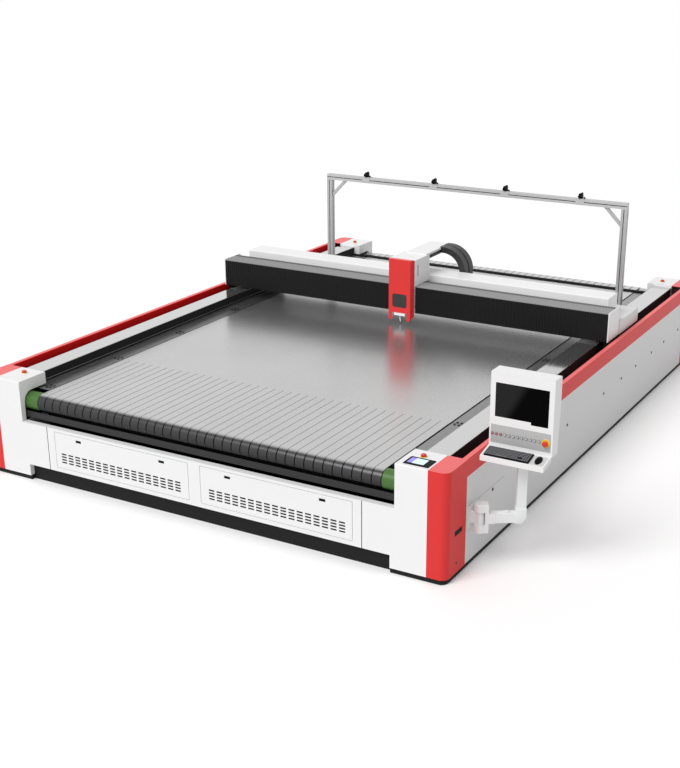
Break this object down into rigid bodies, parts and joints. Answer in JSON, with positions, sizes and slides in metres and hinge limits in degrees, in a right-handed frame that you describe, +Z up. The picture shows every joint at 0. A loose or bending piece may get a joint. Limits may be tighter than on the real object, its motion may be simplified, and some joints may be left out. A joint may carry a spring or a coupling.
{
  "type": "vision laser cutting machine",
  "caption": "Gantry laser cutter with a wide roller-driven conveyor table, camera frame over the belt, moving head on a bellows-covered beam, energy chain and swing-arm control console.",
  "frame": {"origin": "on the floor under the middle of the machine's body", "axes": "+X across the machine towards the console side, +Y from the operator's front to the rear, +Z up"},
  "size_m": [4.88, 5.95, 1.892],
  "materials": {
    "white_paint": "satin powder coat",
    "grey_paint": "satin powder coat",
    "red_paint": "gloss powder coat",
    "black_paint": "matt powder coat",
    "dark_paint": "matt powder coat",
    "steel": "ground",
    "belt_steel": "woven, satin",
    "table_alloy": "honeycomb panel, mill finish",
    "profile_alloy": "anodised extrusion",
    "green_paint": "gloss paint",
    "black_plastic": "moulded",
    "bellows_cloth": "coated cloth, pleated",
    "red_plastic": "moulded",
    "smoked_glass": "smoked acrylic sheet",
    "screen_glass": "display glass",
    "tube_glass": "borosilicate tube",
    "brass": "turned"
  },
  "bodies": {
    "bed": {"base_plinth": "black_paint", "side_frame_left": "dark_paint", "side_frame_right": "dark_paint", "cross_members": "dark_paint", "side_panel_left": "grey_paint", "side_panel_right": "grey_paint", "side_bands": "red_paint", "front_post_left": "white_paint", "front_post_right": "white_paint", "rear_posts": "white_paint", "corner_covers": "red_paint", "front_panel": "white_paint", "rear_panel": "white_paint", "conveyor_belt": "belt_steel", "bed_table": "table_alloy", "deck_strips": "steel", "rail_beams": "black_paint", "rail_covers": "steel", "guide_rails": "steel", "roller_bearings": "dark_paint", "camera_posts": "profile_alloy", "camera_beam": "profile_alloy", "camera_brackets": "profile_alloy", "cameras": "black_plastic", "touch_panel": "black_plastic", "console_bracket": "white_paint"},
    "front_roller": {"front_roller": "green_paint"},
    "rear_roller": {"rear_roller": "green_paint"},
    "front_door_left": {"front_door_left": "white_paint"},
    "front_door_right": {"front_door_right": "white_paint"},
    "door_latch_1": {"door_latch_1": "black_plastic"},
    "door_latch_2": {"door_latch_2": "black_plastic"},
    "door_latch_3": {"door_latch_3": "black_plastic"},
    "door_latch_4": {"door_latch_4": "black_plastic"},
    "side_latch": {"side_latch": "black_plastic"},
    "gantry": {"gantry_beam": "dark_paint", "beam_rails": "steel", "gantry_end_left": "grey_paint", "gantry_end_right": "grey_paint", "gantry_cover": "white_paint", "chain_tray": "grey_paint", "laser_tube": "tube_glass"},
    "head": {"bellows_left": "bellows_cloth", "bellows_right": "bellows_cloth", "head_plate": "profile_alloy", "head_housing": "white_paint", "head_front_cover": "red_paint", "head_window": "smoked_glass", "chain_arm": "grey_paint", "energy_chain": "black_plastic"},
    "nozzle": {"laser_nozzle": "brass"},
    "console_arm": {"console_arm": "white_paint"},
    "console": {"console_housing": "white_paint", "console_screen": "screen_glass", "keyboard_and_mouse": "black_plastic"},
    "console_estop": {"console_estop": "red_plastic"},
    "estop_front_left": {"estop_front_left": "red_plastic"},
    "estop_front_right": {"estop_front_right": "red_plastic"},
    "estop_rear_left": {"estop_rear_left": "red_plastic"},
    "estop_rear_right": {"estop_rear_right": "red_plastic"}
  },
  "joints": [
    {"name": "front_roller_turn", "type": "hinge", "parent": "bed", "child": "front_roller", "pos_m": [0, -2.845, 0.672], "axis": [1, 0, 0], "continuous": true},
    {"name": "rear_roller_turn", "type": "hinge", "parent": "bed", "child": "rear_roller", "pos_m": [0, 2.845, 0.672], "axis": [1, 0, 0], "continuous": true},
    {"name": "front_door_left_hinge", "type": "hinge", "parent": "bed", "child": "front_door_left", "pos_m": [-0.7325, -2.968, 0.189], "axis": [1, 0, 0], "range_deg": [0, 90]},
    {"name": "front_door_right_hinge", "type": "hinge", "parent": "bed", "child": "front_door_right", "pos_m": [0.7325, -2.968, 0.189], "axis": [1, 0, 0], "range_deg": [0, 90]},
    {"name": "door_latch_1_pull", "type": "hinge", "parent": "front_door_left", "child": "door_latch_1", "pos_m": [-1.155, -2.9705, 0.457], "axis": [-1, 0, 0], "range_deg": [0, 35], "stiffness_Nm_per_rad": 0.05, "springref_deg": -2.86},
    {"name": "door_latch_2_pull", "type": "hinge", "parent": "front_door_left", "child": "door_latch_2", "pos_m": [-0.313, -2.9705, 0.457], "axis": [-1, 0, 0], "range_deg": [0, 35], "stiffness_Nm_per_rad": 0.05, "springref_deg": -2.86},
    {"name": "door_latch_3_pull", "type": "hinge", "parent": "front_door_right", "child": "door_latch_3", "pos_m": [0.313, -2.9705, 0.457], "axis": [-1, 0, 0], "range_deg": [0, 35], "stiffness_Nm_per_rad": 0.05, "springref_deg": -2.86},
    {"name": "door_latch_4_pull", "type": "hinge", "parent": "front_door_right", "child": "door_latch_4", "pos_m": [1.155, -2.9705, 0.457], "axis": [-1, 0, 0], "range_deg": [0, 35], "stiffness_Nm_per_rad": 0.05, "springref_deg": -2.86},
    {"name": "side_latch_pull", "type": "hinge", "parent": "bed", "child": "side_latch", "pos_m": [2.1605, -2.785, 0.373], "axis": [0, -1, 0], "range_deg": [0, 30], "stiffness_Nm_per_rad": 0.1, "springref_deg": -5.73},
    {"name": "gantry_slide", "type": "slide", "parent": "bed", "child": "gantry", "axis": [0, 1, 0], "range_m": [-3.05, 0.68]},
    {"name": "head_slide", "type": "slide", "parent": "gantry", "child": "head", "axis": [1, 0, 0], "range_m": [-1.5, 1.5], "deforming": ["bellows_left", "bellows_right"]},
    {"name": "nozzle_focus", "type": "slide", "parent": "head", "child": "nozzle", "axis": [0, 0, 1], "range_m": [-0.012, 0.01]},
    {"name": "console_arm_swing", "type": "hinge", "parent": "bed", "child": "console_arm", "pos_m": [2.237, -2.583, 0.403], "axis": [0, 0, 1], "range_deg": [-90, 10]},
    {"name": "console_swivel", "type": "hinge", "parent": "console_arm", "child": "console", "pos_m": [2.485, -2.435, 0.917], "axis": [0, 0, 1], "range_deg": [-45, 45]},
    {"name": "console_estop_press", "type": "slide", "parent": "console", "child": "console_estop", "axis": [0, 1, 0], "range_m": [0, 0.005], "stiffness_N_per_m": 1000, "springref_m": -0.002},
    {"name": "estop_front_left_press", "type": "slide", "parent": "bed", "child": "estop_front_left", "axis": [0, 0, -1], "range_m": [0, 0.005], "stiffness_N_per_m": 1000, "springref_m": -0.002},
    {"name": "estop_front_right_press", "type": "slide", "parent": "bed", "child": "estop_front_right", "axis": [0, 0, -1], "range_m": [0, 0.005], "stiffness_N_per_m": 1000, "springref_m": -0.002},
    {"name": "estop_rear_left_press", "type": "slide", "parent": "bed", "child": "estop_rear_left", "axis": [0, 0, -1], "range_m": [0, 0.005], "stiffness_N_per_m": 1000, "springref_m": -0.002},
    {"name": "estop_rear_right_press", "type": "slide", "parent": "bed", "child": "estop_rear_right", "axis": [0, 0, -1], "range_m": [0, 0.005], "stiffness_N_per_m": 1000, "springref_m": -0.002}
  ],
  "couplings": [
    {"joint": "rear_roller_turn", "follows": "front_roller_turn", "ratio": 1}
  ]
}
